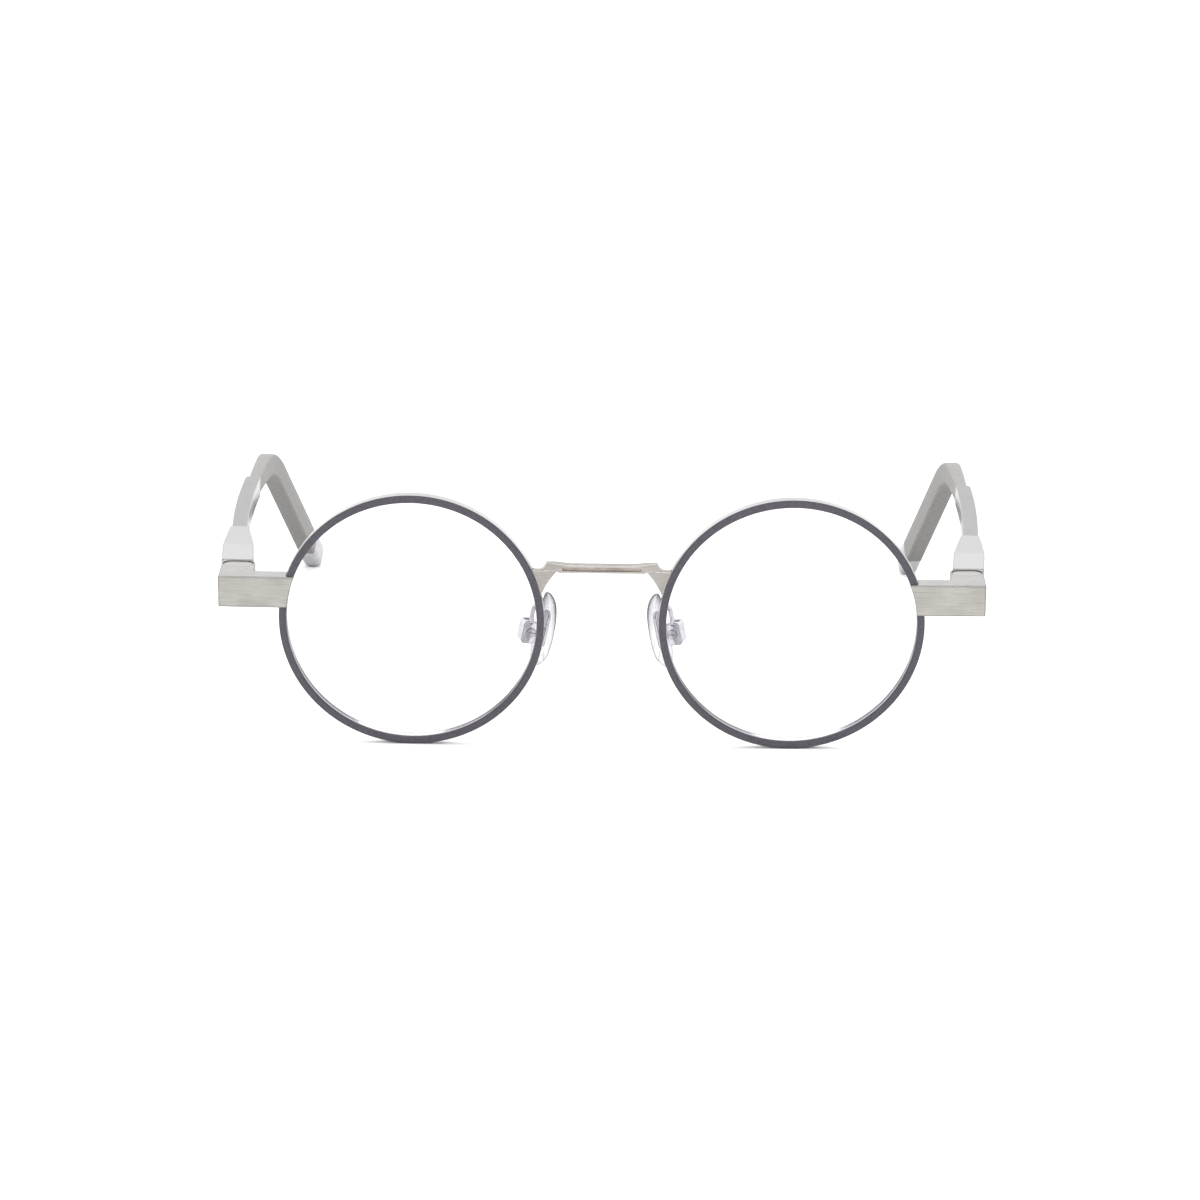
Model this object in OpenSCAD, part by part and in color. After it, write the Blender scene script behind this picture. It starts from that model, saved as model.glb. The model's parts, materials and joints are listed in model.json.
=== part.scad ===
// Round wire eyeglasses with block hinges and curved temples.
// +X is to the right as seen from the front, which looks along -Y,
// the temples run back along +Y and the glasses stand on their rims and temple ends.

/* [Lenses and rims] */
// Diameter of each lens, edge to edge inside the groove
lens_d = 46; // [42:0.5:50]
// Gap between the two lenses at the bridge
bridge_gap = 22; // [20:0.5:24]
// Thickness of the lenses
lens_t = 1; // [0.9:0.05:1.1]
// Radius of the lenses' front curve
lens_curve_r = 130; // [110:5:200]
// Radial width of the rim wire
rim_w = 1.4; // [1.3:0.05:1.6]
// Front to back depth of the rim wire, without the dark band
rim_depth = 1.65; // [1.6:0.05:2]
// Front to back depth of the dark band in front of the rim wire
band_depth = 0.35; // [0.25:0.05:0.5]
// Lean of the front: its top is forward of its bottom by this angle
panto = 7.5; // [4:0.5:10]
// Turn of each rim about its own upright line, so that its outer side lies further back
wrap = 1.3; // [0:0.1:3]

/* [End pieces and hinges] */
// Height of the end pieces
end_h = 5.85; // [5.4:0.05:6]
// Height of the end pieces' lower face above the rim's centre
end_z = 2.2; // [2:0.02:2.6]
// Distance from the rim's centre to the end piece's outer face
end_out = 34.5; // [34:0.1:36]
// Thickness of the end piece's front plate
plate_t = 3; // [2.8:0.1:3.2]
// Width of the part of the end piece that turns back to the hinge
return_w = 6.1; // [6:0.1:6.4]
// Distance from the end piece's front face to the hinge joint
return_y = 8.45; // [8.2:0.05:9]
// Radius of the hinge knuckle
knuckle_r = 1.8; // [1.7:0.05:1.9]
// Radius of the hinge pin
pin_r = 0.7; // [0.6:0.05:0.8]

/* [Temples] */
// Width of the hinge block
block_w = 5.7; // [5.4:0.1:6]
// Length from the hinge pin to the start of the block's taper
block_len = 13; // [11:0.5:15]
// Length from the hinge pin to the start of the temple arm
arm_start = 29.5; // [27:0.5:32]
// Length from the hinge pin to the end of the arm's metal sleeve
sleeve_end = 72.5; // [68:0.5:78]
// Length from the hinge pin to the middle of the ear bend
bend_at = 95.5; // [92:0.1:102]
// Angle of the ear bend
bend_angle = 36.8; // [34:0.1:40]
// Radius of the ear bend
bend_r = 20; // [16:1:24]
// Length from the hinge pin to the end of the temple, along its middle
temple_len = 145; // [144:0.1:146]
// Width of the temple arm
arm_w = 2.9; // [2.6:0.1:3.2]
// Height of the temple arm
arm_h = 4.1; // [3.8:0.1:4.4]
// Width of the temple tip
tip_w = 3.4; // [3:0.1:3.6]
// Height of the temple tip
tip_h = 4.6; // [4.2:0.1:4.8]
// Upward angle of the temple from its hinge to the ear bend
lift = 0.45; // [0:0.05:1]
// Outward angle of the temple where it leaves the hinge
splay_start = 5.2; // [2:0.1:6]
// Inward angle of the temple just before the ear bend
toe_in = 2; // [0:0.1:3]
// Inward angle of the temple behind the ear bend
tip_in = 8; // [6:0.1:10]
// Length of the soft cap on the temple's end
cap_len = 8; // [6:0.5:9]

/* [Nose pads] */
// Height of each nose pad
pad_h = 13.8; // [12:0.1:15]
// Front to back width of each nose pad
pad_w = 7.4; // [7:0.1:8]
// Thickness of each nose pad
pad_t = 2.5; // [2.3:0.1:2.7]
// Angle of the pads as seen from above, wider apart at the back
pad_splay = 20; // [10:1:25]
// Angle of the pads as seen from the front, wider apart at the bottom
pad_frontal = 12; // [6:1:15]

/* [Hidden] */

RIGHT = 1;
LEFT = -1;
slack = 0.02;          // play between pieces that only touch
run = 0.05;            // play between pieces that turn on each other
far = 100;             // reach of a cutting block
round_fn = 96;

// Rims and lenses
lens_r = lens_d / 2;
groove = 0.6;
rim_in = lens_r - groove;
rim_out = rim_in + rim_w;
rim_back = band_depth + rim_depth;
band_inset = 0.07;
rim_x = (lens_d + bridge_gap) / 2;
lens_y = 1.2;          // depth of the lens edge's middle behind the rim's front

// End pieces and hinges, in a side's own frame with its origin at the rim's centre
plate_y = -0.5;        // the plate's front face stands this far in front of the dark band
plate_back = plate_y + plate_t;
end_top = end_z + end_h;
end_mid = end_z + end_h / 2;
return_in = end_out - return_w;
joint_y = plate_y + return_y;
pivot_x = return_in + knuckle_r;
pivot_y = joint_y - knuckle_r;
edge = 0.15;           // broken edges of the metal parts
slot_h = 2.5;          // height of the slot that the temple's tongue turns in
washer_t = 0.18;
tongue_h = slot_h - 2 * (washer_t + 2 * slack);
pin_bore_r = pin_r + 0.04;
head_r = 1.15;
head_t = 0.6;
cap_pocket = 0.6;
cap_plate_t = 0.42;
cap_r = 1.45;
cap_run = 2.6;         // distance between the centres of the hinge cap's round ends

// Closing block behind the end piece, where the rim is split to let the lens in
lock_out = 26.4;
lock_back = 4.3;
lock_z = [3.3, 7.2];
lock_split = 0.2;
lock_x = 24.9;
lock_y = 3.45;
lock_r = 0.45;
lock_head_r = 0.62;
lock_head_t = 0.6;

// Temples
block_rise = (joint_y - pivot_y) * sin(panto);
block_x = (end_out + 0.1 - block_w / 2) - pivot_x;
taper_w = 3.4;
taper_h = 4.7;
bend_len = bend_r * bend_angle * PI / 180;
bend_from = bend_at - bend_len / 2;
bend_to = bend_at + bend_len / 2;
cap_start = temple_len - cap_len;
core_w = 1;
core_h = 1.8;
core_from = 24;
core_to = 133;
ring_step = 1.5;

// Nose pads, in a side's own frame
pad_pin = [-20.7, 6, -3.6];
pad_pin_r = 0.45;
pad_gap = 1.9;         // from the pad's pin to the pad's back
pad_rise = 0.5;        // from the pad's pin up to the pad's middle
box_w = 2.5;
box_d = 2.6;
box_h = 4.2;
tab_t = 1;
tab_r = 0.95;

// Where the whole stands: on the rims' lowest front edge, centred front to back
stand_y = -69.3;
stand_z = rim_out * cos(panto) - band_depth * sin(panto);

metal = [0.80, 0.79, 0.78];
satin = [0.62, 0.62, 0.63];
warm = [0.74, 0.72, 0.69];
dark = [0.26, 0.25, 0.28];
grey = [0.53, 0.52, 0.51];
clear = [0.9, 0.93, 0.96, 0.35];

// ---------------------------------------------------------------- placing

// The front's own frame: origin between the rims' centres on their front plane
module front() {
    translate([0, stand_y, stand_z]) rotate([panto, 0, 0]) children();
}

// One side's own frame: origin at the centre of its rim
module side(hand) {
    front() mirror([hand == LEFT ? 1 : 0, 0, 0])
        translate([rim_x, 0, 0]) rotate([0, 0, wrap]) children();
}

// The temple's frame: origin on the hinge axis, Y level and straight back
module temple_frame() {
    translate([pivot_x, pivot_y, end_mid]) rotate([-panto, 0, 0]) children();
}

// The nose pad's frame: origin on its pin, Y along the pin, X away from the nose
module pad_frame() {
    translate(pad_pin) rotate([0, 0, -pad_splay]) rotate([0, -pad_frontal, 0]) children();
}

// A ring or disc about the Y axis: the profile's x is the radius and its y the depth
module about_y() {
    rotate([-90, 0, 0]) rotate_extrude($fn = round_fn) children();
}

// A straight rod along Y from one depth to another
module rod_y(r, from, to) {
    translate([0, from, 0]) rotate([-90, 0, 0]) cylinder(r = r, h = to - from, $fn = round_fn);
}

// A straight rod along Z from one height to another
module rod_z(r, from, to, fn = 48) {
    translate([0, 0, from]) cylinder(r = r, h = to - from, $fn = fn);
}

module block(from, to) {
    translate(from) cube(to - from);
}

// Rectangle with broken corners, from one corner to the opposite one
module bevelled(from, to, e) {
    polygon([
        [from[0] + e, from[1]], [to[0] - e, from[1]], [to[0], from[1] + e], [to[0], to[1] - e],
        [to[0] - e, to[1]], [from[0] + e, to[1]], [from[0], to[1] - e], [from[0], from[1] + e]
    ]);
}

// Outline in the plane of X and Z, made thick along Y
module plate_xz(from, to) {
    translate([0, to, 0]) rotate([90, 0, 0]) linear_extrude(to - from) children();
}

// Outline in the plane of Y and Z, made thick along X
module plate_yz(from, to) {
    translate([from, 0, 0]) rotate([90, 0, 90]) linear_extrude(to - from) children();
}

// ---------------------------------------------------------------- sweeping

// Rounded rectangle: out and in are its reaches to either side, h its full height
function section(out, in, h, r, n = 3) = [
    for (q = [[out - r, h / 2 - r, 0], [r - in, h / 2 - r, 90],
              [r - in, r - h / 2, 180], [out - r, r - h / 2, 270]])
        for (i = [0:n]) [q[0] + r * cos(q[2] + 90 * i / n), q[1] + r * sin(q[2] + 90 * i / n)]
];

// Skin through rings of points, closed at both ends
module skin(rings) {
    n = len(rings[0]);
    last = len(rings) - 1;
    polyhedron(
        points = [for (ring = rings) each ring],
        faces = concat(
            [[for (j = [n - 1:-1:0]) j]],
            [for (i = [0:last - 1], j = [0:n - 1])
                [i * n + j, i * n + (j + 1) % n, (i + 1) * n + (j + 1) % n, (i + 1) * n + j]],
            [[for (j = [0:n - 1]) last * n + j]]
        ),
        convexity = 6
    );
}

// The temple's middle line: heading is outward from straight back, dip is below level
function mix(a, b, t) = a + (b - a) * min(max(t, 0), 1);
function dip(s) = mix(-lift, bend_angle - lift, (s - bend_from) / bend_len);
function heading(s) = s < bend_from
    ? mix(splay_start, -toe_in, (s - arm_start) / (bend_from - arm_start))
    : mix(-toe_in, -tip_in, (s - bend_from) / bend_len);
function along(s) = [sin(heading(s)) * cos(dip(s)), cos(heading(s)) * cos(dip(s)), -sin(dip(s))];
function outward(s) = [cos(heading(s)), -sin(heading(s)), 0];
function upward(s) = cross(outward(s), along(s));

line_step = 0.5;
line_start = [block_x, 0, block_rise];
line = [
    for (i = 0, p = line_start; i <= temple_len / line_step;
         p = p + line_step * along((i + 0.5) * line_step), i = i + 1) p
];
function at(s) = line[round(s / line_step)];
function ring(s, points) = [for (p = points) at(s) + p[0] * outward(s) + p[1] * upward(s)];
function stations(from, to) = let (n = ceil((to - from) / ring_step)) [
    for (i = [0:n]) round((from + (to - from) * i / n) / line_step) * line_step
];

// ---------------------------------------------------------------- bridge

bar_x = 7.7;           // half length of the bar's flat front
bar_z = [9.6, 11.05];  // the bar's lower and upper faces above the rims' centres
bar_back = 1.35;
lug_x = [5.6, 8.2, 10.2];
lug_top = 11.35;
valley_r = 1.6;        // hollow between the lug and the rim
bracket_r = 15;        // inner curve of the bracket under the lug
bracket_z = 5.2;
bracket_turn = [41, 22];
recess_r = 0.42;
recess_depth = 0.45;

// The bridge's outline from the front: bar, raised lugs and curved brackets
function flip(points) = [for (i = [len(points) - 1:-1:0]) [-points[i][0], points[i][1]]];
bracket_foot = [8.1, bar_z[0]];
bracket_centre = bracket_foot - bracket_r * [cos(bracket_turn[0]), sin(bracket_turn[0])];
bridge_side = concat(
    [for (i = [0:8]) let (a = mix(bracket_turn[0], bracket_turn[1], i / 8))
        bracket_centre + bracket_r * [cos(a), sin(a)]],
    [[13, bracket_z], [13, 10.2], [12.4, lug_top], [lug_x[2], lug_top],
     [lug_x[1], lug_top], [lug_x[0], bar_z[1]]]
);

module bridge() {
    recess_z = (bar_z[0] + bar_z[1]) / 2;
    color(warm) difference() {
        front() difference() {
            plate_xz(0, bar_back) polygon(concat(bridge_side, flip(bridge_side)));
            for (hand = [RIGHT, LEFT]) mirror([hand == LEFT ? 1 : 0, 0, 0]) {
                // hollow between the lug and the rim
                translate([lug_x[2] + valley_r - 0.25, 0, lug_top + 0.2]) rod_y(valley_r, -1, 3);
                // the lug's front leans back towards the rim
                translate([bar_x, 0, 0]) rotate([0, 0, 12]) block([0, -2, 9.85], [7, 0, 13]);
                // the bracket is thinner than the bar
                block([bar_x + 0.1, -1, 5], [14, 0.35, 9.9]);
                // round end of the long recess in the bar's front
                translate([bar_x - 1, 0, recess_z]) rod_y(recess_r, -1, recess_depth);
            }
            block([1 - bar_x, -1, recess_z - recess_r], [bar_x - 1, recess_depth, recess_z + recess_r]);
        }
        for (hand = [RIGHT, LEFT]) side(hand) rod_y(rim_out, -3, 5);
    }
}

// ---------------------------------------------------------------- rims

module rim_profile() {
    difference() {
        translate([rim_in, band_depth]) square([rim_w, rim_depth]);
        polygon([
            [rim_in - 1, lens_y - 1.1], [rim_in - 1, lens_y + 1.1],
            [rim_in, lens_y + 0.45], [lens_r, lens_y], [rim_in, lens_y - 0.45]
        ]);
    }
}

// The two halves of the closing block, joined to the rim's two ends
module lock_blocks() {
    intersection() {
        union() {
            block([0, plate_back + slack, lock_z[0]], [lock_out, lock_back, lock_z[1]]);
            rod_y(rim_out, rim_back - 0.1, plate_back + slack);
        }
        block([0, 0, lock_z[0]], [far, far, lock_z[1]]);
    }
}

module rim(hand) {
    color(metal) side(hand) difference() {
        union() {
            about_y() rim_profile();
            difference() {
                lock_blocks();
                rod_y(rim_in, -1, lock_back + 1);
            }
        }
        block([0, -1, end_mid - lock_split / 2], [far, far, end_mid + lock_split / 2]);
        translate([lock_x, lock_y, 0]) {
            rod_z(lock_r + slack, 0, lock_z[1] - 0.5);
            rod_z(lock_head_r + slack, 0, lock_z[0] + lock_head_t);
        }
    }
}

module rim_band(hand) {
    color(dark) side(hand) difference() {
        about_y() bevelled([rim_in + band_inset, 0], [rim_out - band_inset, band_depth], 0.08);
        block([0, -1, end_z - slack], [far, 1, end_top + slack]);
    }
}

module rim_lock_screw(hand) {
    color(satin) side(hand) translate([lock_x, lock_y, 0]) difference() {
        union() {
            rod_z(lock_r, lock_z[0] + 0.1, lock_z[1] - 0.6);
            rod_z(lock_head_r, lock_z[0] + 0.05, lock_z[0] + lock_head_t - slack);
        }
        block([-1, -0.1, lock_z[0] - 1], [1, 0.1, lock_z[0] + 0.3]);
    }
}

// Depth of a sphere's cap at a radius from its axis
function sag(curve, r) = curve - sqrt(curve * curve - r * r);

module lens(hand) {
    steps = 10;
    edge_y = lens_y - lens_t / 2;
    front_y = edge_y - sag(lens_curve_r, rim_in);
    back_curve = lens_curve_r - lens_t;
    back_y = edge_y + lens_t - sag(back_curve, rim_in);
    face_r = rim_in - slack;
    color(clear) side(hand) about_y() polygon(concat(
        [for (i = [0:steps]) let (r = face_r * i / steps) [r, front_y + sag(lens_curve_r, r)]],
        [[face_r, lens_y - 0.4], [lens_r - 0.05, lens_y], [face_r, lens_y + 0.4]],
        [for (i = [steps:-1:0]) let (r = face_r * i / steps) [r, back_y + sag(back_curve, r)]]
    ));
}

// ---------------------------------------------------------------- end pieces

// The end piece from above, with its rear inner corner rounded about the hinge pin
module end_plan() {
    bevelled([0, plate_y], [end_out, plate_back], edge);
    translate([return_in, plate_y + 1]) square([return_w, pivot_y - plate_y - 1]);
    translate([pivot_x, plate_y + 1]) square([end_out - pivot_x, joint_y - plate_y - 1]);
    translate([pivot_x, pivot_y]) circle(r = knuckle_r, $fn = 64);
}

// Space that the temple's tongue sweeps as it folds inward, from above
module tongue_sweep() {
    reach = knuckle_r + 2 * run;
    circle(r = reach, $fn = 64);
    translate([-far, 0]) square([far + reach, far]);
    translate([-far, -reach]) square([far, far + reach]);
}

module hinge_cap_outline(r) {
    for (x = [0, cap_run]) translate([x, 0]) circle(r = r, $fn = 64);
    translate([0, -r]) square([cap_run, 2 * r]);
}

module end_piece(hand) {
    color(warm) side(hand) difference() {
        intersection() {
            translate([0, 0, end_z]) linear_extrude(end_h) end_plan();
            plate_yz(0, end_out) bevelled([plate_y, end_z], [joint_y + 1, end_top], edge);
            plate_xz(plate_y, joint_y) bevelled([-1, end_z], [end_out, end_top], edge);
        }
        rod_y(rim_in, plate_y - 1, rim_back + 2);
        rod_y(rim_out, band_depth, joint_y);
        translate([pivot_x, pivot_y, 0]) {
            translate([0, 0, end_mid - slot_h / 2]) linear_extrude(slot_h) tongue_sweep();
            rod_z(pin_r + slack, 0, end_top - cap_pocket - 0.2);
            rod_z(head_r + slack, 0, end_z + head_t + slack);
            translate([0, 0, end_top - cap_pocket]) linear_extrude(2) hinge_cap_outline(cap_r);
        }
    }
}

module hinge_cap(hand) {
    floor_z = end_top - cap_pocket + slack;
    color([0.70, 0.67, 0.64]) side(hand) translate([pivot_x, pivot_y, 0]) difference() {
        translate([0, 0, floor_z]) linear_extrude(cap_plate_t) hinge_cap_outline(cap_r - slack);
        translate([0, 0, floor_z + cap_plate_t - 0.12]) linear_extrude(1) difference() {
            hinge_cap_outline(cap_r + 1);
            hinge_cap_outline(cap_r - 0.12);
        }
    }
}

module hinge_screw(hand) {
    color(satin) side(hand) translate([pivot_x, pivot_y, 0]) difference() {
        union() {
            rod_z(pin_r, end_z + 0.2, end_top - cap_pocket - 0.3);
            rod_z(head_r, end_z + 0.05, end_z + head_t);
        }
        block([-2, -0.15, end_z - 1], [2, 0.15, end_z + 0.3]);
    }
}

module hinge_washers(hand) {
    color([0.92, 0.92, 0.9]) side(hand) translate([pivot_x, pivot_y, end_mid])
        for (z = [-slot_h / 2 + slack, slot_h / 2 - slack - washer_t]) difference() {
            rod_z(knuckle_r - 0.1, z, z + washer_t);
            rod_z(pin_r + slack, z - 1, z + 1);
        }
}

// ---------------------------------------------------------------- nose pads

// A round wire along a curve with four control points
function curve(p, t) = pow(1 - t, 3) * p[0] + 3 * t * pow(1 - t, 2) * p[1]
    + 3 * t * t * (1 - t) * p[2] + pow(t, 3) * p[3];
function slope(p, t) = 3 * pow(1 - t, 2) * (p[1] - p[0]) + 6 * t * (1 - t) * (p[2] - p[1])
    + 3 * t * t * (p[3] - p[2]);
function unit(v) = v / norm(v);
function wire_ring(c, d, r, n) = let (a = unit(cross(d, [0.3, 0.1, 1])), b = unit(cross(a, d))) [
    for (j = [0:n - 1]) c + r * (cos(360 * j / n) * a + sin(360 * j / n) * b)
];

pad_arm_r = 0.42;
pad_arm_foot = [-23, rim_back, 1.2];
pad_arm_end = pad_pin + [-0.45, -0.9, 1.6];  // inside the box's front cheek

module pad_arm(hand) {
    route = [
        pad_arm_foot, pad_arm_foot + [0.9, 3.6, 1.4],
        pad_arm_end + [-0.3, 0.3, 3.6], pad_arm_end
    ];
    n = 16;
    color(metal) difference() {
        side(hand) union() {
            skin([for (i = [0:n]) wire_ring(curve(route, i / n), unit(slope(route, i / n)), pad_arm_r, 12)]);
            translate(pad_arm_foot) rod_y(0.62, 0, 0.5);
        }
        side(hand) pad_frame() pad_box_solid();
        side(hand) block([-far, -far, -far], [far, rim_back, far]);
    }
}

module pad_box_solid() {
    translate([0, box_d / 2, 0]) rotate([90, 0, 0]) linear_extrude(box_d) union() {
        translate([-1, -box_h / 2 + 0.6]) square([box_w, box_h - 1.2]);
        translate([-1 + 0.6, -box_h / 2]) square([box_w - 1.2, box_h]);
        for (x = [-0.4, box_w - 1.6], z = [-1, 1])
            translate([x, z * (box_h / 2 - 0.6)]) circle(r = 0.6, $fn = 32);
    }
}

module pad_box(hand) {
    slot = tab_t + 2 * run;
    color(metal) side(hand) pad_frame() difference() {
        pad_box_solid();
        block([-3, -slot / 2, -box_h], [tab_r + 0.15, slot / 2, box_h]);
        rod_y(pad_pin_r + slack, -box_d, box_d);
        rod_y(0.82, -box_d, -box_d / 2 + 0.35);
    }
}

module pad_screw(hand) {
    color(satin) side(hand) pad_frame() difference() {
        union() {
            rod_y(pad_pin_r, -box_d / 2 - 0.2, box_d / 2);
            rod_y(0.8, -box_d / 2 - 0.15, -box_d / 2 + 0.33);
        }
        block([-1, -box_d / 2 - 1, -0.1], [1, -box_d / 2 + 0.08, 0.1]);
    }
}

// The metal core inside the pad: a thin plate with a tab that the pin goes through
module pad_core_solid(play) {
    plate_x = -pad_gap - 1;
    translate([plate_x - 0.25 - play, 0, 0.6]) rotate([90, 0, 90]) linear_extrude(0.5 + 2 * play) union() {
        for (z = [-2.2, 2.2]) translate([0, z]) circle(r = 1.3 + play, $fn = 32);
        translate([-1.3 - play, -2.2]) square([2.6 + 2 * play, 4.4]);
    }
    block([plate_x, -tab_t / 2 - play, -tab_r - play], [0, tab_t / 2 + play, tab_r + play]);
}

module pad_core(hand) {
    color(metal) side(hand) pad_frame() difference() {
        union() {
            pad_core_solid(0);
            rod_y(tab_r, -tab_t / 2, tab_t / 2);
        }
        rod_y(pad_pin_r + 0.04, -1, 1);
    }
}

module nose_pad(hand) {
    top_r = pad_w / 2 - 0.8;
    low_r = pad_w / 2;
    // half thickness, height and radius of the pad's top, middle and bottom, flush at the back
    parts = [[0.8, pad_h / 2 - top_r, top_r], [pad_t / 2, 0.4, 3.5], [0.85, low_r - pad_h / 2, low_r]];
    color(clear) side(hand) pad_frame() difference() {
        translate([-pad_gap, 0, pad_rise]) hull() for (part = parts)
            translate([-part[0], 0, part[1]]) scale([part[0], part[2], part[2]])
                sphere(r = 1, $fn = 32);
        pad_core_solid(slack);
    }
}

// ---------------------------------------------------------------- temples

// Plan and side outlines of the hinge block, along its own middle line
module block_body() {
    translate([block_x, 0, block_rise]) rotate([lift, 0, -splay_start]) intersection() {
        translate([0, 0, -far / 2]) linear_extrude(far) polygon([
            [-block_w / 2, -2], [block_w / 2, -2], [block_w / 2, block_len],
            [taper_w / 2, arm_start], [-taper_w / 2, arm_start], [-block_w / 2, block_len]
        ]);
        plate_yz(-far / 2, far / 2) polygon([
            [-2, -end_h / 2], [block_len, -end_h / 2], [arm_start, -taper_h / 2],
            [arm_start, taper_h / 2], [block_len, end_h / 2], [-2, end_h / 2]
        ]);
        plate_xz(-3, arm_start)
            bevelled([-block_w / 2, -end_h / 2], [block_w / 2, end_h / 2], edge);
    }
}

module hinge_block(hand) {
    color(metal) side(hand) difference() {
        union() {
            difference() {
                temple_frame() block_body();
                block([0, -far, -far], [far, joint_y + run, far]);
            }
            translate([pivot_x, pivot_y, end_mid]) {
                rod_z(knuckle_r, -tongue_h / 2, tongue_h / 2);
                block([-knuckle_r + 0.6, 0, -tongue_h / 2], [knuckle_r, knuckle_r + 1, tongue_h / 2]);
            }
        }
        translate([pivot_x, pivot_y, end_mid]) rod_z(pin_bore_r, -far, far);
        temple_frame() translate([block_x, 0, block_rise]) rotate([lift, 0, -splay_start])
            block([-core_w / 2 - slack, core_from - slack, -core_h / 2 - slack],
                  [core_w / 2 + slack, arm_start + 1, core_h / 2 + slack]);
    }
}

// The core's section is a plain rectangle, grown by the play around it
function core_section(play) = let (a = core_w / 2 + play, b = core_h / 2 + play)
    [[a, b], [-a, b], [-a, -b], [a, -b]];

module core_solid(from, to, play) {
    skin([for (s = stations(from, to)) ring(s, core_section(play))]);
}

module temple_core(hand) {
    color(satin) side(hand) temple_frame() core_solid(core_from, core_to, 0);
}

// The sleeve's section draws in over its last stretch, so its end is rounded
sleeve_round = 1.2;
function sleeve_section(s) =
    let (t = max(0, s - sleeve_end + sleeve_round) / sleeve_round,
         draw = 0.45 * (1 - sqrt(1 - t * t)))
    section(arm_w / 2 - draw, arm_w / 2 - draw * 0.3, arm_h - draw, 0.35);

module temple_arm(hand) {
    stops = concat(
        stations(arm_start, sleeve_end - 1.5),
        [sleeve_end - 1, sleeve_end - 0.5, sleeve_end]
    );
    color(satin) side(hand) temple_frame() difference() {
        skin([for (s = stops) ring(s, sleeve_section(s))]);
        core_solid(arm_start - 2, sleeve_end + 2, slack);
    }
}

// The tip starts inside the sleeve's outline and swells to more than the arm's width at the bend
function tip_section(s) =
    let (t = (s - sleeve_end) / (bend_to - sleeve_end), half = tip_w / 2)
    section(mix(0.9, half, t), mix(1.33, half, t), mix(3.4, tip_h, t), 0.55);

module temple_tip(hand) {
    color(grey) side(hand) temple_frame() difference() {
        skin([for (s = stations(sleeve_end, cap_start)) ring(s, tip_section(s))]);
        core_solid(sleeve_end - 2, core_to + 0.5, slack);
    }
}

// The cap is a little thicker than the tip and ends round
cap_round = 2.6;
function cap_section(s) =
    let (swell = sin(90 * min(1, (s - cap_start) / 1.5)),
         t = max(0, s - temple_len + cap_round) / cap_round,
         keep = sqrt(max(0.02, 1 - t * t)))
    section((tip_w / 2 + 0.2 * swell) * keep, (tip_w / 2 + 0.4 * swell) * keep,
            (tip_h + 0.5 * swell) * keep, 1.35 * keep);

module tip_cap(hand) {
    color([0.85, 0.85, 0.86]) side(hand) temple_frame()
        skin([for (s = [cap_start:line_step:temple_len]) ring(s, cap_section(s))]);
}

// ---------------------------------------------------------------- nodes

bridge();
rim(LEFT);  // rim_left
rim(RIGHT);  // rim_right
rim_band(LEFT);  // rim_band_left
rim_band(RIGHT);  // rim_band_right
lens(LEFT);  // lens_left
lens(RIGHT);  // lens_right
end_piece(LEFT);  // end_piece_left
end_piece(RIGHT);  // end_piece_right
rim_lock_screw(LEFT);  // rim_lock_screw_left
rim_lock_screw(RIGHT);  // rim_lock_screw_right
hinge_cap(LEFT);  // hinge_cap_left
hinge_cap(RIGHT);  // hinge_cap_right
hinge_screw(LEFT);  // hinge_screw_left
hinge_screw(RIGHT);  // hinge_screw_right
hinge_washers(LEFT);  // hinge_washers_left
hinge_washers(RIGHT);  // hinge_washers_right
pad_arm(LEFT);  // pad_arm_left
pad_arm(RIGHT);  // pad_arm_right
pad_box(LEFT);  // pad_box_left
pad_box(RIGHT);  // pad_box_right
pad_screw(LEFT);  // pad_screw_left
pad_screw(RIGHT);  // pad_screw_right
nose_pad(LEFT);  // nose_pad_left
nose_pad(RIGHT);  // nose_pad_right
pad_core(LEFT);  // pad_core_left
pad_core(RIGHT);  // pad_core_right
hinge_block(LEFT);  // hinge_block_left
hinge_block(RIGHT);  // hinge_block_right
temple_core(LEFT);  // temple_core_left
temple_core(RIGHT);  // temple_core_right
temple_arm(LEFT);  // temple_arm_left
temple_arm(RIGHT);  // temple_arm_right
temple_tip(LEFT);  // temple_tip_left
temple_tip(RIGHT);  // temple_tip_right
tip_cap(LEFT);  // tip_cap_left
tip_cap(RIGHT);  // tip_cap_right
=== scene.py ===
import json
import math

import bpy
from mathutils import Matrix, Vector


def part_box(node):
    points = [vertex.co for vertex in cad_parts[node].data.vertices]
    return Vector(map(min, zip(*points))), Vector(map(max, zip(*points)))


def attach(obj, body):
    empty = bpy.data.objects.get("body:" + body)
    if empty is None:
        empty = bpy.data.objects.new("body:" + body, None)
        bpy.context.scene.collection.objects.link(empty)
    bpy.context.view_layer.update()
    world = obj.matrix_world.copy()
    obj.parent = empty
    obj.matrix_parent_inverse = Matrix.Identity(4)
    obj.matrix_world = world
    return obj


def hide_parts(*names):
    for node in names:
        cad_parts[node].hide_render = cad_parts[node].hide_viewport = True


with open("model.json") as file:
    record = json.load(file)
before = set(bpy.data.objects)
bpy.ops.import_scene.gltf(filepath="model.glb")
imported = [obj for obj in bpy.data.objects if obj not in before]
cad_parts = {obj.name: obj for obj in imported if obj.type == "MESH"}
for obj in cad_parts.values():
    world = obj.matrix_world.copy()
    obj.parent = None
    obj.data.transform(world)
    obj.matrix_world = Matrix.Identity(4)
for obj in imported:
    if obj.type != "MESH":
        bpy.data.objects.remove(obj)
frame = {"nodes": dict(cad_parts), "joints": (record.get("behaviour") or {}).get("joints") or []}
bpy.context.view_layer.update()
nodes = frame["nodes"]
joints = {j["name"]: j for j in frame["joints"]}
MM = 0.001
SIDES = (("left", -1), ("right", 1))
LENS_GLEAM, PAD_GLEAM = 0.18, 0.6  # share of a plain dielectric's reflection

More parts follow.
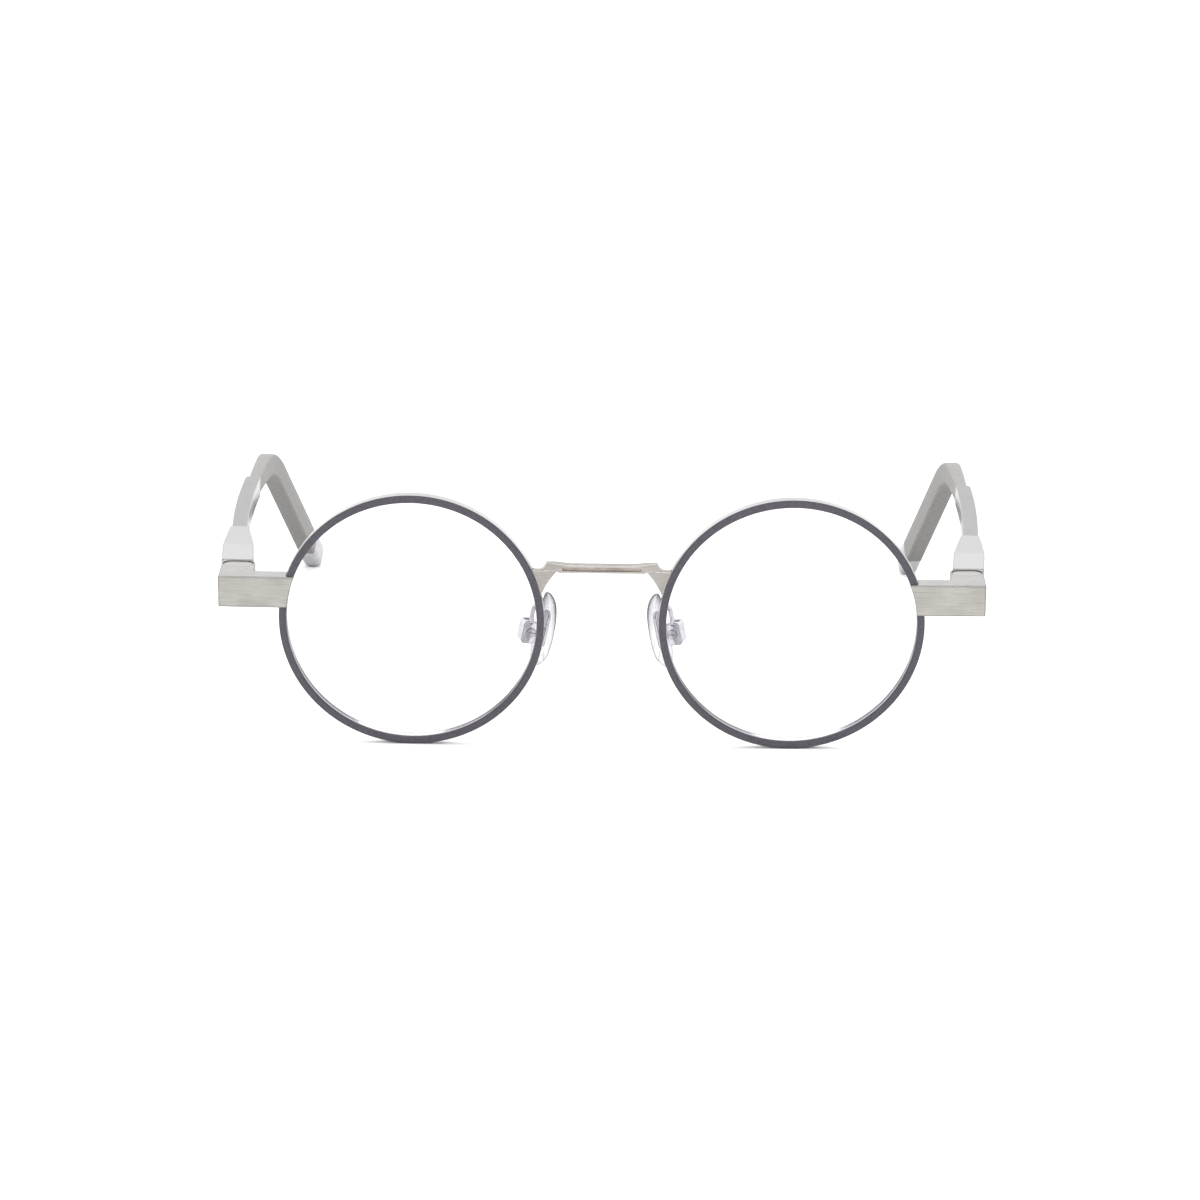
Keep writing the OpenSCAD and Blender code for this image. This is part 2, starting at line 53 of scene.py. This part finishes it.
# ---------------------------------------------------------------- camera

camera = bpy.data.objects.new("camera", bpy.data.cameras.new("camera"))
bpy.context.scene.collection.objects.link(camera)
front_y = (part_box("rim_left")[0].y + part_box("rim_left")[1].y) / 2
camera.location = (0.01038, front_y - 0.87375, 0.24379)
camera.rotation_euler = [math.radians(a) for a in (76.105, -0.570, 0.842)]
camera.data.sensor_width = 36
camera.data.lens = 151.14
bpy.context.scene.camera = camera
bpy.context.scene.view_settings.view_transform = "Standard"


# ---------------------------------------------------------------- node helpers

class Nodes:
    """A material's node tree, with short calls for what the looks below are made of."""

    def __init__(self, name):
        self.material = bpy.data.materials.new(name)
        self.material.use_nodes = True
        self.tree = self.material.node_tree
        self.tree.nodes.clear()
        self.out = self.add("OutputMaterial")
        self.place = self.add("TexCoord").outputs["Object"]

    def add(self, kind, **values):
        node = self.tree.nodes.new("ShaderNode" + kind)
        for key, value in values.items():
            setattr(node, key, value)
        return node

    def link(self, source, socket):
        self.tree.links.new(source, socket)

    def set(self, node, values):
        for key, value in values.items():
            if isinstance(value, bpy.types.NodeSocket):
                self.link(value, node.inputs[key])
            else:
                node.inputs[key].default_value = value
        return node

    def noise(self, size, detail=3.0, rough=0.55, shift=0.0):
        """Noise whose grains are size = (x, y, z) millimetres long."""
        mapping = self.add("Mapping")
        self.link(self.place, mapping.inputs["Vector"])
        mapping.inputs["Scale"].default_value = [1000 / s for s in size]
        mapping.inputs["Location"].default_value = (shift, shift, shift)
        noise = self.set(self.add("TexNoise"), {
            "Vector": mapping.outputs[0], "Scale": 1.0, "Detail": detail, "Roughness": rough,
        })
        return noise.outputs["Fac"]

    def ramp(self, fac, *stops):
        ramp = self.add("ValToRGB")
        self.link(fac, ramp.inputs["Fac"])
        elements = ramp.color_ramp.elements
        while len(elements) < len(stops):
            elements.new(0.5)
        for element, (at, colour) in zip(elements, stops):
            element.position = at
            grey = isinstance(colour, (int, float))
            element.color = (colour,) * 3 + (1,) if grey else tuple(colour) + (1,)
        return ramp.outputs["Color"]

    def span(self, fac, low, high, start=0.3, end=0.7):
        """A number that goes from low to high as fac goes from start to end."""
        return self.set(self.add("MapRange"), {
            "Value": fac, "From Min": start, "From Max": end, "To Min": low, "To Max": high,
        }).outputs["Result"]

    def blend(self, kind, fac, a, b):
        mix = self.add("Mix", data_type="RGBA", blend_type=kind)
        for socket, value in zip((mix.inputs[0], mix.inputs[6], mix.inputs[7]), (fac, a, b)):
            if isinstance(value, bpy.types.NodeSocket):
                self.link(value, socket)
            else:
                socket.default_value = value if isinstance(value, float) else tuple(value) + (1,)
        return mix.outputs[2]

    def math(self, operation, *values):
        node = self.add("Math", operation=operation)
        for socket, value in zip(node.inputs, values):
            if isinstance(value, bpy.types.NodeSocket):
                self.link(value, socket)
            else:
                socket.default_value = value
        return node.outputs[0]

    def bump(self, height, distance, strength=1.0, normal=None):
        values = {"Height": height, "Distance": distance * MM, "Strength": strength}
        if normal is not None:
            values["Normal"] = normal
        return self.set(self.add("Bump"), values).outputs["Normal"]

    def soft_edges(self, radius):
        bevel = self.add("Bevel", samples=4)
        bevel.inputs["Radius"].default_value = radius * MM
        return bevel.outputs["Normal"]

    def along_edges(self, radius, start=0.004, end=0.05):
        """1 within radius millimetres of a sharp edge, 0 elsewhere."""
        dot = self.add("VectorMath", operation="DOT_PRODUCT")
        self.link(self.soft_edges(radius), dot.inputs[0])
        self.link(self.add("NewGeometry").outputs["True Normal"], dot.inputs[1])
        return self.span(dot.outputs["Value"], 1.0, 0.0, 1 - end, 1 - start)

    def surface(self, **values):
        """The Principled shader, by socket names with _ for space."""
        shader = self.add("BsdfPrincipled")
        self.set(shader, {k.replace("_", " "): v for k, v in values.items()})
        self.link(shader.outputs[0], self.out.inputs["Surface"])
        return shader


def metal(name, dark, light, grain, rough, scratch=0.0, depth=0.004, edge=0.08, line=None):
    """Brushed metal: grain is the size of the brush marks in millimetres, line the colour and
    width of a painted edge line: a dark colour is painted shade, a light one a painted highlight."""
    n = Nodes(name)
    marks = n.noise(grain, 4.0, 0.62)
    cloud = n.noise((5, 5, 5), 2.0, 0.5, 7.0)
    tone = n.ramp(n.math("MULTIPLY_ADD", cloud, 0.35, n.math("MULTIPLY", marks, 0.65)),
                  (0.34, dark), (0.62, light))
    if scratch:
        cuts = n.noise([g * 1.7 for g in grain], 2.0, 0.5, 31.0)
        lines = n.ramp(cuts, (0.60, (1, 1, 1)), (0.70, (1 - scratch,) * 3))
        tone = n.blend("MULTIPLY", 1.0, tone, lines)
    # painted edge line: a dark colour paints shade along the sharp edges, a light one paints a
    # highlight there
    if line:
        tone = n.blend("MIX", n.along_edges(line[1]), tone, line[0])
    n.surface(
        Base_Color=tone, Metallic=1.0,
        Roughness=n.span(marks, rough[0], rough[1]),
        Normal=n.bump(marks, depth, 1.0, n.soft_edges(edge) if edge else None),
    )
    return n.material


def lacquer():
    n = Nodes("band_lacquer_look")
    cloud = n.noise((0.35, 0.35, 0.35), 3.0)
    tone = n.ramp(cloud, (0.35, (0.072, 0.064, 0.083)), (0.65, (0.112, 0.100, 0.126)))
    n.surface(
        # the near-black colour along the band's sharp edges is painted shade
        Base_Color=n.blend("MIX", n.along_edges(0.12), tone, (0.035, 0.031, 0.042)),
        Metallic=0.35,
        Roughness=n.span(cloud, 0.28, 0.40),
        Coat_Weight=0.5, Coat_Roughness=0.15,
        Normal=n.bump(cloud, 0.002),
    )
    return n.material


def glass():
    """Lens: clear, with the faint violet gleam of its coating."""
    n = Nodes("lens_glass_look")
    clean = n.noise((14, 14, 14), 2.0)
    clear = n.set(n.add("BsdfTransparent"), {"Color": (0.985, 0.982, 0.992, 1)})
    gleam = n.set(n.add("BsdfGlossy"), {
        "Color": n.ramp(clean, (0.3, (0.80, 0.76, 0.92)), (0.7, (0.88, 0.85, 0.96))),
        "Roughness": 0.02,
    })
    fresnel = n.set(n.add("Fresnel"), {"IOR": 1.5})
    mix = n.set(n.add("MixShader"), {0: n.math("MULTIPLY", fresnel.outputs[0], LENS_GLEAM)})
    n.link(clear.outputs[0], mix.inputs[1])
    n.link(gleam.outputs[0], mix.inputs[2])
    n.link(mix.outputs[0], n.out.inputs["Surface"])
    return n.material


def silicone(pad_top):
    """Clear silicone: see-through face on, grey to black where the pad is seen edge on (a painted
    dark outline, painted shade), and glossy.
    """
    n = Nodes("pad_silicone_look")
    cloud = n.noise((1.5, 1.5, 1.5), 2.0)
    normal = n.bump(cloud, 0.01)
    slant = n.set(n.add("LayerWeight"), {"Blend": 0.5, "Normal": normal}).outputs["Facing"]
    height = n.add("SeparateXYZ")
    n.link(n.place, height.inputs[0])
    upper = n.span(height.outputs["Z"], 0.0, 1.0, pad_top - 7.5 * MM, pad_top - 4 * MM)
    # soft and crisp paint a dark outline: the see-through colour darkens as the surface turns
    # edge on, softer towards the top of the pad
    soft = n.ramp(slant, (0.0, (0.975, 0.97, 0.98)), (0.45, (0.93, 0.925, 0.94)),
                  (0.75, (0.62, 0.61, 0.64)), (0.94, (0.16, 0.16, 0.18)))
    crisp = n.ramp(slant, (0.0, (0.96, 0.955, 0.965)), (0.42, (0.90, 0.895, 0.91)),
                   (0.64, (0.40, 0.39, 0.42)), (0.77, (0.01, 0.01, 0.012)))
    clear = n.set(n.add("BsdfTransparent"), {"Color": n.blend("MIX", upper, soft, crisp)})
    gloss = n.set(n.add("BsdfGlossy"), {
        "Roughness": n.span(cloud, 0.03, 0.07), "Normal": normal,
        "Color": n.ramp(cloud, (0.3, 0.92), (0.7, 0.98)),
    })
    fresnel = n.set(n.add("Fresnel"), {"IOR": 1.41, "Normal": normal})
    mix = n.set(n.add("MixShader"), {0: n.math("MULTIPLY", fresnel.outputs[0], PAD_GLEAM)})
    n.link(clear.outputs[0], mix.inputs[1])
    n.link(gloss.outputs[0], mix.inputs[2])
    n.link(mix.outputs[0], n.out.inputs["Surface"])
    return n.material


def plastic(name, dark, light, size, rough, sheen=0.0, coat=0.0, depth=0.003):
    n = Nodes(name)
    cloud = n.noise(size, 3.0)
    n.surface(
        Base_Color=n.ramp(cloud, (0.35, dark), (0.65, light)),
        Roughness=n.span(cloud, *rough),
        Coat_Weight=coat, Coat_Roughness=0.2,
        Sheen_Weight=sheen,
        Normal=n.bump(cloud, depth),
    )
    return n.material


# ---------------------------------------------------------------- materials

# each line= below paints a colour along sharp edges: the dark ones are painted shade, the
# bridge's light one is a painted highlight
looks = {
    "bridge_metal": metal("bridge_metal_look", (0.42, 0.385, 0.35), (0.60, 0.57, 0.53),
                          (2, 0.4, 0.10), (0.26, 0.38), scratch=0.12,
                          line=((0.95, 0.94, 0.92), 0.24)),
    # the recess: brownish textured metal, made darker by painted shade in the hollow, with a
    # near-black painted-shade line along its edges
    "recess_metal": metal("recess_metal_look", (0.36, 0.315, 0.285), (0.68, 0.615, 0.57),
                          (0.7, 0.4, 0.20), (0.38, 0.50), scratch=0.2, depth=0.006,
                          line=((0.12, 0.10, 0.09), 0.16)),
    "rim_metal": metal("rim_metal_look", (0.62, 0.62, 0.63), (0.68, 0.68, 0.69),
                       (1.5, 1.5, 1.5), (0.14, 0.22), depth=0.001, edge=0,
                       line=((0.16, 0.155, 0.17), 0.10)),
    "band_lacquer": lacquer(),
    "lens_glass": glass(),
    "end_metal": metal("end_metal_look", (0.45, 0.43, 0.395), (0.66, 0.64, 0.60),
                       (3.5, 0.3, 0.07), (0.28, 0.40), scratch=0.25,
                       line=((0.13, 0.12, 0.115), 0.24)),
    # a lighter, greyer copy of end_metal for the upward faces: painted light on the tops
    "end_top": metal("end_top_look", (0.56, 0.55, 0.54), (0.68, 0.67, 0.66),
                     (0.8, 0.4, 0.4), (0.30, 0.40), scratch=0.12, depth=0.003,
                     line=((0.20, 0.19, 0.18), 0.20)),
    "block_metal": metal("block_metal_look", (0.60, 0.60, 0.60), (0.65, 0.65, 0.65),
                         (1.5, 6, 1.5), (0.28, 0.36), depth=0.002,
                         line=((0.36, 0.36, 0.37), 0.20)),
    # a darker copy of block_metal for the narrowing part of the hinge block: painted shade
    "taper_metal": metal("taper_metal_look", (0.55, 0.55, 0.55), (0.60, 0.60, 0.60),
                         (1.5, 6, 1.5), (0.30, 0.38), depth=0.002,
                         line=((0.36, 0.36, 0.37), 0.20)),
    "cap_metal": metal("cap_metal_look", (0.60, 0.58, 0.565), (0.72, 0.705, 0.69),
                       (0.8, 0.4, 0.5), (0.26, 0.36), scratch=0.12, depth=0.003,
                       line=((0.56, 0.54, 0.53), 0.10)),
    "screw_steel": metal("screw_steel_look", (0.60, 0.60, 0.61), (0.74, 0.74, 0.75),
                         (0.6, 0.6, 0.6), (0.18, 0.30)),
    "washer_nylon": plastic("washer_nylon_look", (0.72, 0.72, 0.70), (0.82, 0.82, 0.80),
                            (0.4, 0.4, 0.4), (0.40, 0.50)),
    "pad_metal": metal("pad_metal_look", (0.66, 0.64, 0.67), (0.98, 0.96, 0.99),
                       (0.9, 0.9, 0.9), (0.05, 0.10), depth=0.03, edge=0.45,
                       line=((0.02, 0.02, 0.025), 0.22)),
    "pad_silicone": silicone(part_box("nose_pad_left")[1].z),
    "core_wire": metal("core_wire_look", (0.52, 0.52, 0.52), (0.66, 0.66, 0.66),
                       (0.2, 3, 0.2), (0.25, 0.40)),
    "sleeve_metal": metal("sleeve_metal_look", (0.42, 0.42, 0.42), (0.48, 0.48, 0.48),
                          (0.5, 4, 0.5), (0.34, 0.44), depth=0.003, edge=0),
    "sleeve_polish": metal("sleeve_polish_look", (0.72, 0.72, 0.72), (0.82, 0.82, 0.82),
                           (3, 6, 3), (0.06, 0.12), depth=0.002, edge=0),
    "tip_acetate": plastic("tip_acetate_look", (0.225, 0.218, 0.21), (0.285, 0.276, 0.267),
                           (0.7, 1.2, 0.7), (0.42, 0.55), coat=0.12),
    "end_cap_rubber": plastic("end_cap_rubber_look", (0.54, 0.535, 0.555), (0.65, 0.645, 0.665),
                              (1.2, 1.2, 1.2), (0.45, 0.58), sheen=0.1),
}
for node in nodes.values():
    for place in node.material_slots:
        place.material = looks[place.material.name.split(".")[0]]

# the front leans back by PANTO and each rim turns by WRAP; STAND places the front in the row
PANTO, WRAP = math.radians(7.5), math.radians(1.3)
STAND_Y, STAND_Z = -69.3, 23.5507


def second_look(node, look, chosen):
    """Give the chosen faces of a CAD node another look: chosen(centre, normal), in the frame of
    the spectacles' front and in millimetres."""
    node.data.materials.append(looks[look])
    place = (Matrix.Translation((0, STAND_Y * MM, STAND_Z * MM)) @ Matrix.Rotation(PANTO, 4, "X")
             @ Matrix.Scale(MM, 4)).inverted() @ node.matrix_world
    spin = Matrix.Rotation(-PANTO, 3, "X")
    for face in node.data.polygons:
        if chosen(place @ face.center, spin @ face.normal):
            face.material_index = len(node.data.materials) - 1


BAR_MIDDLE, RECESS_R, RECESS_DEPTH, RECESS_HALF = 10.325, 0.42, 0.45, 8
TAPER_FROM = 20.5  # distance behind the front where the hinge block starts to narrow
# faces inside the bridge's recess take the darker look: painted shade in the hollow
second_look(nodes["bridge"], "recess_metal",
            lambda p, way: 0.03 < p.y < RECESS_DEPTH + 0.02 and abs(p.x) < RECESS_HALF
            and abs(p.z - BAR_MIDDLE) < RECESS_R + 0.01)
for side, hand in SIDES:
    # upward faces of each end piece take the lighter copy: painted light
    second_look(nodes[f"end_piece_{side}"], "end_top", lambda p, way: way.z > 0.5)
    # the hinge block's narrowing part takes the darker copy: painted shade
    second_look(nodes[f"hinge_block_{side}"], "taper_metal", lambda p, way: p.y > TAPER_FROM)

# ---------------------------------------------------------------- the temple's middle line

BEND_AT, BEND_ANGLE, BEND_R = 95.5, 36.8, 20.0
ARM_START, SLEEVE_END, TEMPLE_LEN, CAP_LEN = 29.5, 72.5, 145.0, 8.0
LIFT, SPLAY_START, TOE_IN, TIP_IN = 0.45, 5.2, 2.0, 8.0
ARM_W, ARM_H = 2.9, 4.1
TIP_W, TIP_H = 3.4, 4.6
SLEEVE_ROUND, CAP_ROUND = 1.2, 2.6  # length over which each piece's end is rounded
BEND_LEN = BEND_R * math.radians(BEND_ANGLE)
BEND_FROM, BEND_TO = BEND_AT - BEND_LEN / 2, BEND_AT + BEND_LEN / 2
CAP_START = TEMPLE_LEN - CAP_LEN


def mix(a, b, t):
    return a + (b - a) * min(max(t, 0.0), 1.0)


def turn(s):
    """Heading outward from straight back and dip below level, in radians, at length s."""
    if s < BEND_FROM:
        heading = mix(SPLAY_START, -TOE_IN, (s - ARM_START) / (BEND_FROM - ARM_START))
    else:
        heading = mix(-TOE_IN, -TIP_IN, (s - BEND_FROM) / BEND_LEN)
    dip = mix(-LIFT, BEND_ANGLE - LIFT, (s - BEND_FROM) / BEND_LEN)
    return math.radians(heading), math.radians(dip)


def axes(s):
    heading, dip = turn(s)
    along = Vector((math.sin(heading) * math.cos(dip), math.cos(heading) * math.cos(dip),
                    -math.sin(dip)))
    outward = Vector((math.cos(heading), -math.sin(heading), 0))
    return along, outward, outward.cross(along)


STEP = 0.5
line = [Vector((1.55, 0, 1.8 * math.sin(PANTO)))]
while len(line) <= TEMPLE_LEN / STEP:
    line.append(line[-1] + STEP * axes((len(line) - 0.5) * STEP)[0])


def at(s):
    k = min(int(s / STEP), len(line) - 2)
    return line[k].lerp(line[k + 1], s / STEP - k)


def to_row(side, hand):
    """From the temple's frame, in millimetres, to the row frame."""
    pivot = Vector(joints[f"temple_{side}_fold"]["pos_m"])
    turned = (Matrix.Rotation(PANTO, 4, "X") @ Matrix.Rotation(hand * WRAP, 4, "Z")
              @ Matrix.Rotation(-PANTO, 4, "X"))
    flip = Matrix.Diagonal((hand * MM, MM, MM, 1))
    return Matrix.Translation(pivot) @ turned @ flip


# ---------------------------------------------------------------- the nose pads' frames

PAD_PIN = Vector((-20.7, 6.0, -3.6))
PAD_SPLAY, PAD_FRONTAL = math.radians(20), math.radians(12)


def pad_side(side, hand):
    """From the frame of that side's rim, moved to the pad's pin, in millimetres, to the row."""
    pin = Vector(joints[f"nose_pad_{side}_rock"]["pos_m"])
    flip = Matrix.Diagonal((hand * MM, MM, MM, 1))
    return (Matrix.Translation(pin) @ Matrix.Rotation(PANTO, 4, "X") @ flip
            @ Matrix.Rotation(WRAP, 4, "Z"))


def pad_own(side, hand):
    """From the pad's own frame, Y along its pin, in millimetres, to the row frame."""
    return (pad_side(side, hand) @ Matrix.Rotation(-PAD_SPLAY, 4, "Z")
            @ Matrix.Rotation(-PAD_FRONTAL, 4, "Y"))


# ---------------------------------------------------------------- mesh helpers

def piece(name, verts, faces, body, look, replaced=()):
    mesh = bpy.data.meshes.new(name)
    mesh.from_pydata([tuple(v) for v in verts], [], faces)
    mesh.validate()
    obj = bpy.data.objects.new(name, mesh)
    bpy.context.scene.collection.objects.link(obj)
    for m in look:
        mesh.materials.append(looks[m])
    mesh.polygons.foreach_set("use_smooth", [True] * len(mesh.polygons))
    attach(obj, body)
    if replaced:
        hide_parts(*replaced)
    return obj


def rounded(out, inner, h, r, n=6):
    """Rounded rectangle, out and inner reaching to either side."""
    ring = []
    for cx, cz, a in ((out - r, h / 2 - r, 0), (r - inner, h / 2 - r, 90),
                      (r - inner, r - h / 2, 180), (out - r, r - h / 2, 270)):
        for i in range(n + 1):
            b = math.radians(a + 90 * i / n)
            ring.append((cx + r * math.cos(b), cz + r * math.sin(b)))
    return ring


def tube(rings, flip):
    """Faces of a closed skin through rings of equal length."""
    n, last = len(rings[0]), len(rings) - 1
    faces = [list(range(n)), [last * n + j for j in reversed(range(n))]]
    for i in range(last):
        for j in range(n):
            k = (j + 1) % n
            faces.append([i * n + j, (i + 1) * n + j, (i + 1) * n + k, i * n + k])
    if flip:
        faces = [list(reversed(f)) for f in faces]
    return [v for ring in rings for v in ring], faces


def along_temple(stations, section, matrix):
    rings = []
    for s in stations:
        _, outward, up = axes(s)
        rings.append([matrix @ (at(s) + x * outward + z * up) for x, z in section(s)])
    return rings


def steps(start, end, size):
    n = max(1, math.ceil((end - start) / size))
    return [start + (end - start) * i / n for i in range(n + 1)]


# ---------------------------------------------------------------- temples

def sleeve_section(s):
    t = max(0.0, s - SLEEVE_END + SLEEVE_ROUND) / SLEEVE_ROUND
    draw = 0.45 * (1 - math.sqrt(max(0.0, 1 - t * t)))
    return rounded(ARM_W / 2 - draw, ARM_W / 2 - draw * 0.3, ARM_H - draw, 0.35)


def tip_section(s):
    t = (s - SLEEVE_END) / (BEND_TO - SLEEVE_END)
    return rounded(mix(0.9, TIP_W / 2, t), mix(1.33, TIP_W / 2, t), mix(3.4, TIP_H, t), 0.55)


def cap_section(s):
    swell = math.sin(math.pi / 2 * min(1.0, (s - CAP_START) / 1.5))
    t = max(0.0, s - TEMPLE_LEN + CAP_ROUND) / CAP_ROUND
    keep = math.sqrt(max(0.02, 1 - t * t))
    return rounded((TIP_W / 2 + 0.2 * swell) * keep, (TIP_W / 2 + 0.4 * swell) * keep,
                   (TIP_H + 0.5 * swell) * keep, 1.35 * keep)


for side, hand in SIDES:
    matrix = to_row(side, hand)
    body = f"temple_{side}"
    stops = (steps(ARM_START, SLEEVE_END - SLEEVE_ROUND, 1.0)
             + steps(SLEEVE_END - 1.1, SLEEVE_END, 0.12))
    verts, faces = tube(along_temple(stops, sleeve_section, matrix), hand < 0)
    arm = piece(f"arm_sleeve_{side}", verts, faces, body,
                ("sleeve_metal", "sleeve_polish"), (f"temple_arm_{side}",))
    for face in arm.data.polygons:
        if face.normal.x * hand < -0.8:
            face.material_index = 1
    verts, faces = tube(along_temple(steps(SLEEVE_END, CAP_START, 1.0), tip_section, matrix),
                        hand < 0)
    piece(f"ear_tip_{side}", verts, faces, body, ("tip_acetate",),
          (f"temple_tip_{side}",))
    stops = (steps(CAP_START, TEMPLE_LEN - CAP_ROUND, 0.4)
             + steps(TEMPLE_LEN - 2.5, TEMPLE_LEN, 0.12))
    verts, faces = tube(along_temple(stops, cap_section, matrix), hand < 0)
    piece(f"end_cap_{side}", verts, faces, body, ("end_cap_rubber",),
          (f"tip_cap_{side}",))

# ---------------------------------------------------------------- nose pads

PAD_H, PAD_GAP, PAD_T, PAD_RISE = 13.8, 1.9, 2.5, 0.5
TOP_R, LOW_R = 2.9, 3.7
PAD_RINGS = 44
FULLEST, THIN_OUT = 0.4, 7.3  # height where the pad is thickest, and how far it thins from there
WIRE_R, WIRE_SIDES, WIRE_STEPS = 0.42, 16, 40


def pad_half_width(z):
    """Half width of the pad's D outline, height z above its middle."""
    top, low = PAD_H / 2 - TOP_R, LOW_R - PAD_H / 2
    slope = (LOW_R - TOP_R) / (top - low)
    if z > top + slope * TOP_R:
        return math.sqrt(max(0.0, TOP_R ** 2 - (z - top) ** 2))
    if z < low + slope * LOW_R:
        return math.sqrt(max(0.0, LOW_R ** 2 - (z - low) ** 2))
    t = (z - low - slope * LOW_R) / (top - low + slope * (TOP_R - LOW_R))
    return mix(LOW_R, TOP_R, t) * math.sqrt(1 - slope ** 2)


def pad_ring(z, count=40):
    width = max(pad_half_width(z), 0.05)
    thick = PAD_T * (max(0.0, 1 - abs((z - FULLEST) / THIN_OUT) ** 2.4)) ** 0.62
    thick = max(thick * min(1.0, width / 2.2) ** 0.3, 0.05)
    ring = []
    for j in range(count):
        a = 2 * math.pi * j / count
        c, s = math.cos(a), math.sin(a)
        x = math.copysign(abs(c) ** 0.85, c) * thick / 2
        y = math.copysign(abs(s) ** 0.95, s) * width
        bow = 0.25 * (y / LOW_R) ** 2
        ring.append(Vector((-PAD_GAP - thick / 2 + x * (1 - 0.12 * (x > 0)) + bow * 0.4, y,
                            z + PAD_RISE)))
    return ring


def curve_point(p, t):
    return ((1 - t) ** 3 * p[0] + 3 * t * (1 - t) ** 2 * p[1]
            + 3 * t * t * (1 - t) * p[2] + t ** 3 * p[3])


for side, hand in SIDES:
    own = pad_own(side, hand)
    heights = [PAD_H / 2 * math.sin(math.pi * (i / PAD_RINGS - 0.5)) * 0.998
               for i in range(PAD_RINGS + 1)]
    rings = [[own @ v for v in pad_ring(z)] for z in heights]
    verts, faces = tube(rings, hand > 0)
    pad = piece(f"silicone_pad_{side}", verts, faces, f"nose_pad_{side}",
                ("pad_silicone",), (f"nose_pad_{side}",))

    rim = pad_side(side, hand)
    foot = Vector((-23, 2, 1.2)) - PAD_PIN
    end = Vector((-0.45, -0.9, 1.6))
    route = (foot, foot + Vector((0.9, 3.6, 1.4)), end + Vector((-0.3, 0.3, 3.6)), end)
    rings = []
    for i in range(WIRE_STEPS + 1):
        t = i / WIRE_STEPS
        here = curve_point(route, t)
        ahead, behind = curve_point(route, min(1, t + 0.01)), curve_point(route, max(0, t - 0.01))
        along = (ahead - behind).normalized()
        a = along.cross(Vector((0.3, 0.1, 1))).normalized()
        b = a.cross(along).normalized()
        turns = [2 * math.pi * j / WIRE_SIDES for j in range(WIRE_SIDES)]
        rings.append([rim @ (here + WIRE_R * (math.cos(w) * a + math.sin(w) * b)) for w in turns])
    verts, faces = tube(rings, hand < 0)
    piece(f"pad_wire_{side}", verts, faces, "front", ("pad_metal",),
          (f"pad_arm_{side}",))

# ---------------------------------------------------------------- floor, lights

bpy.ops.mesh.primitive_plane_add(size=3, location=(0, 0.5, 0))
floor = bpy.context.object
floor.name = "floor"
n = Nodes("floor_look")
cloud = n.noise((300, 300, 300))
paper = n.set(n.add("BsdfDiffuse"), {"Color": n.ramp(cloud, (0.3, 0.90), (0.7, 0.92))})
bounce = n.set(n.add("BsdfDiffuse"), {"Color": n.ramp(cloud, (0.3, 0.54), (0.7, 0.58))})
seen = n.add("MixShader")
n.link(n.add("LightPath").outputs["Is Camera Ray"], seen.inputs[0])
n.link(bounce.outputs[0], seen.inputs[1])
n.link(paper.outputs[0], seen.inputs[2])
n.link(seen.outputs[0], n.out.inputs["Surface"])
floor.data.materials.append(n.material)

world = bpy.data.worlds.new("studio")
bpy.context.scene.world = world
world.use_nodes = True
tree = world.node_tree
tree.nodes.clear()


def world_node(kind, **values):
    node = tree.nodes.new("ShaderNode" + kind)
    for key, value in values.items():
        node.inputs[key].default_value = value
    return node


way = world_node("SeparateXYZ")
tree.links.new(world_node("TexCoord").outputs["Generated"], way.inputs[0])


def world_ramp(source, *stops):
    ramp = world_node("ValToRGB")
    tree.links.new(source, ramp.inputs["Fac"])
    while len(ramp.color_ramp.elements) < len(stops):
        ramp.color_ramp.elements.new(0.5)
    for element, (place, grey) in zip(ramp.color_ramp.elements, stops):
        element.position = place
        element.color = (grey, grey, grey, 1)
    return ramp.outputs["Color"]


# bright behind the object, dimmer overhead and on the camera's side
back = world_node("MapRange")
tree.links.new(way.outputs["Y"], back.inputs["Value"])
back.inputs["From Min"].default_value = -0.5
back.inputs["From Max"].default_value = 0.5
horizon = world_ramp(back.outputs["Result"], (0.0, 0.46), (0.5, 0.64), (1.0, 1.20))
sky = world_node("Mix")
sky.data_type = "RGBA"
tree.links.new(world_ramp(way.outputs["Z"], (0.35, 0.0), (0.85, 1.0)), sky.inputs[0])
tree.links.new(horizon, sky.inputs[6])
sky.inputs[7].default_value = (0.70, 0.70, 0.70, 1)
dome = world_node("Background")
tree.links.new(sky.outputs[2], dome.inputs["Color"])
plain = world_node("Background", Color=(1, 1, 1, 1))
share = world_node("MixShader")
tree.links.new(world_node("LightPath").outputs["Is Camera Ray"], share.inputs[0])
tree.links.new(dome.outputs[0], share.inputs[1])
tree.links.new(plain.outputs[0], share.inputs[2])
tree.links.new(share.outputs[0], world_node("OutputWorld").inputs["Surface"])


def softbox(name, place, aim, size, power):
    data = bpy.data.lights.new(name, "AREA")
    data.shape = "RECTANGLE"
    data.size, data.size_y = size
    data.energy = power
    light = bpy.data.objects.new(name, data)
    bpy.context.scene.collection.objects.link(light)
    light.location = place
    light.rotation_euler = (Vector(aim) - Vector(place)).to_track_quat("-Z", "Y").to_euler()
    return light


softbox("front", (0.0, -1.5, 1.1), (0, 0, 0.03), (1.4, 0.6), 9.5)
for light in (softbox("overhead", (0.0, 0.1, 1.3), (0, 0, 0), (1.4, 1.4), 13),
              softbox("left", (-1.3, -0.2, 0.7), (0, 0, 0.02), (0.9, 0.7), 9),
              softbox("right", (1.3, -0.2, 0.7), (0, 0, 0.02), (0.9, 0.7), 9)):
    light.visible_glossy = False

# ---------------------------------------------------------------- view layer update

bpy.context.view_layer.update()
